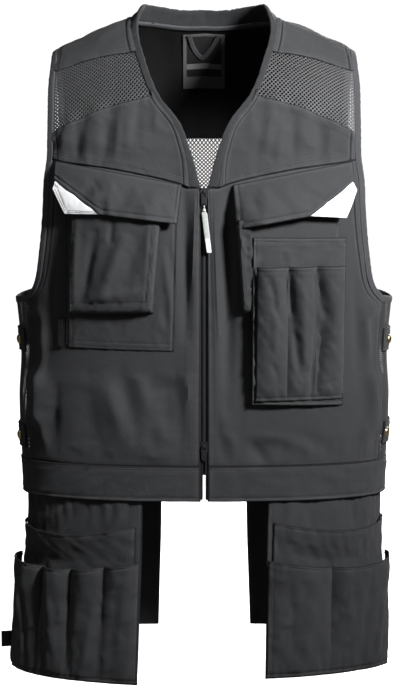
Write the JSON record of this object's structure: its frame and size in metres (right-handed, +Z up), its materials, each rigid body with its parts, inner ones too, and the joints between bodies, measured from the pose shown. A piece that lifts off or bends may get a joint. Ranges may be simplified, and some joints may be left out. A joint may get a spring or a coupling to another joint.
{
  "type": "utility work vest with hanging holster pockets",
  "caption": "Sleeveless zipped work vest with mesh shoulders and sides, flapped chest pockets, tool sleeves and holster pockets hanging below the waistband",
  "frame": {"origin": "the middle of the neck opening, at the height where the collar's seam crosses the top of the shoulders: the place where the vest is held up by a wearer's shoulders and neck", "axes": "+X is the wearer's left, -Y is the way the wearer faces, +Z is up"},
  "size_m": [0.5158, 0.2772, 0.8795],
  "materials": {
    "twill": "dark grey cotton and polyester twill",
    "dark_twill": "black lining cloth",
    "mesh": "open knitted mesh",
    "binding": "woven binding tape",
    "bright_cloth": "pale retroreflective cloth",
    "brass": "domed press studs",
    "black_metal": "black lacquered zip slider",
    "zip_tape": "woven tape with moulded teeth",
    "label": "plain woven label, left bare",
    "grip": "pale grey grip of the zip pull"
  },
  "bodies": {
    "vest": {"front_panel_right": "twill", "front_panel_left": "twill", "chest_panel_right": "twill", "chest_panel_left": "twill", "shoulder_mesh_right": "mesh", "shoulder_mesh_left": "mesh", "shoulder_yoke_right": "twill", "shoulder_yoke_left": "twill", "back_yoke": "twill", "yoke_lining": "dark_twill", "back_mesh": "mesh", "back_panel": "twill", "side_mesh_right": "mesh", "side_mesh_left": "mesh", "waistband_right": "twill", "waistband_left": "twill", "waistband_back": "twill", "neck_band": "dark_twill", "neck_piping": "binding", "armhole_binding_right": "binding", "armhole_binding_left": "binding", "neck_label": "label", "hanger_loop": "binding", "zip_half_right": "zip_tape", "zip_half_left": "zip_tape", "slider_top": "black_metal", "slider_bottom": "black_metal", "flat_pocket_right": "twill", "gusset_pocket_right": "twill", "gusset_pocket_left": "twill", "tool_panel_left": "twill", "tool_sleeves_left": "twill", "flap_right": "twill", "bright_tab_right": "bright_cloth", "flap_left": "twill", "bright_tab_left": "bright_cloth", "pocket_tag": "label", "side_strap_upper_right": "twill", "press_stud_upper_right": "brass", "side_strap_lower_right": "twill", "press_stud_lower_right": "brass", "side_strap_upper_left": "twill", "press_stud_upper_left": "brass", "side_strap_lower_left": "twill", "press_stud_lower_left": "brass", "front_holster_right_panel": "twill", "front_holster_right_high_pocket": "twill", "front_holster_right_low_pocket": "twill", "front_holster_left_panel": "twill", "front_holster_left_high_pocket": "twill", "front_holster_left_low_pocket": "twill", "back_holster_right_panel": "twill", "back_holster_right_low_pocket": "twill", "back_holster_left_panel": "twill", "back_holster_left_low_pocket": "twill", "holster_tag": "label"},
    "upper_pull": {"pull_tab_top": "black_metal", "pull_strip": "grip"},
    "lower_pull": {"pull_tab_bottom": "black_metal"}
  },
  "joints": [
    {"name": "upper_pull_swing", "type": "hinge", "parent": "vest", "child": "upper_pull", "pos_m": [0, -0.12309, -0.2258], "axis": [-1, 0, 0], "range_deg": [0, 150]},
    {"name": "lower_pull_swing", "type": "hinge", "parent": "vest", "child": "lower_pull", "pos_m": [0, -0.11706, -0.55009], "axis": [-1, 0, 0], "range_deg": [0, 150]}
  ]
}
